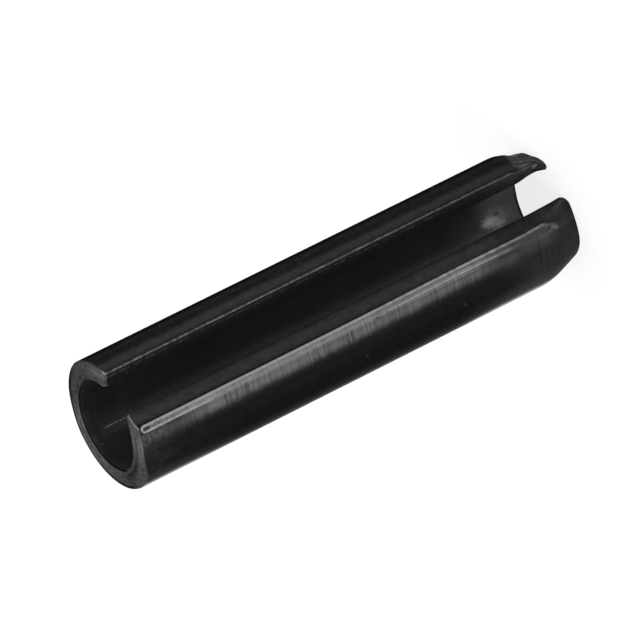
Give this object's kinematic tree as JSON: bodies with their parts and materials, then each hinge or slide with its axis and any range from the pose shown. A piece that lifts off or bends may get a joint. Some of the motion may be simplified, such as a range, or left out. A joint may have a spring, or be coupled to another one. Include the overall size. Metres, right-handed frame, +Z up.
{
  "type": "slotted spring pin",
  "caption": "Slotted spring pin: a tube rolled from steel strip with an open lengthwise slot and a tapered nose, pressed into a hole to hold or locate parts.",
  "frame": {"origin": "on the pin's axis, on the surface that its nose stands on; the bounding box is centred 0.32 mm behind it, because the slot opens the front", "axes": "+Z up along the pin's axis, from the tapered nose to the cut end, -Y out through the slot"},
  "size_m": [0.0104, 0.0098, 0.0405],
  "materials": {
    "black_steel": "black oxide on spring steel, satin, worn bright along the lips' outer corners"
  },
  "bodies": {
    "root": {"spring_pin": "black_steel"}
  },
  "joints": []
}
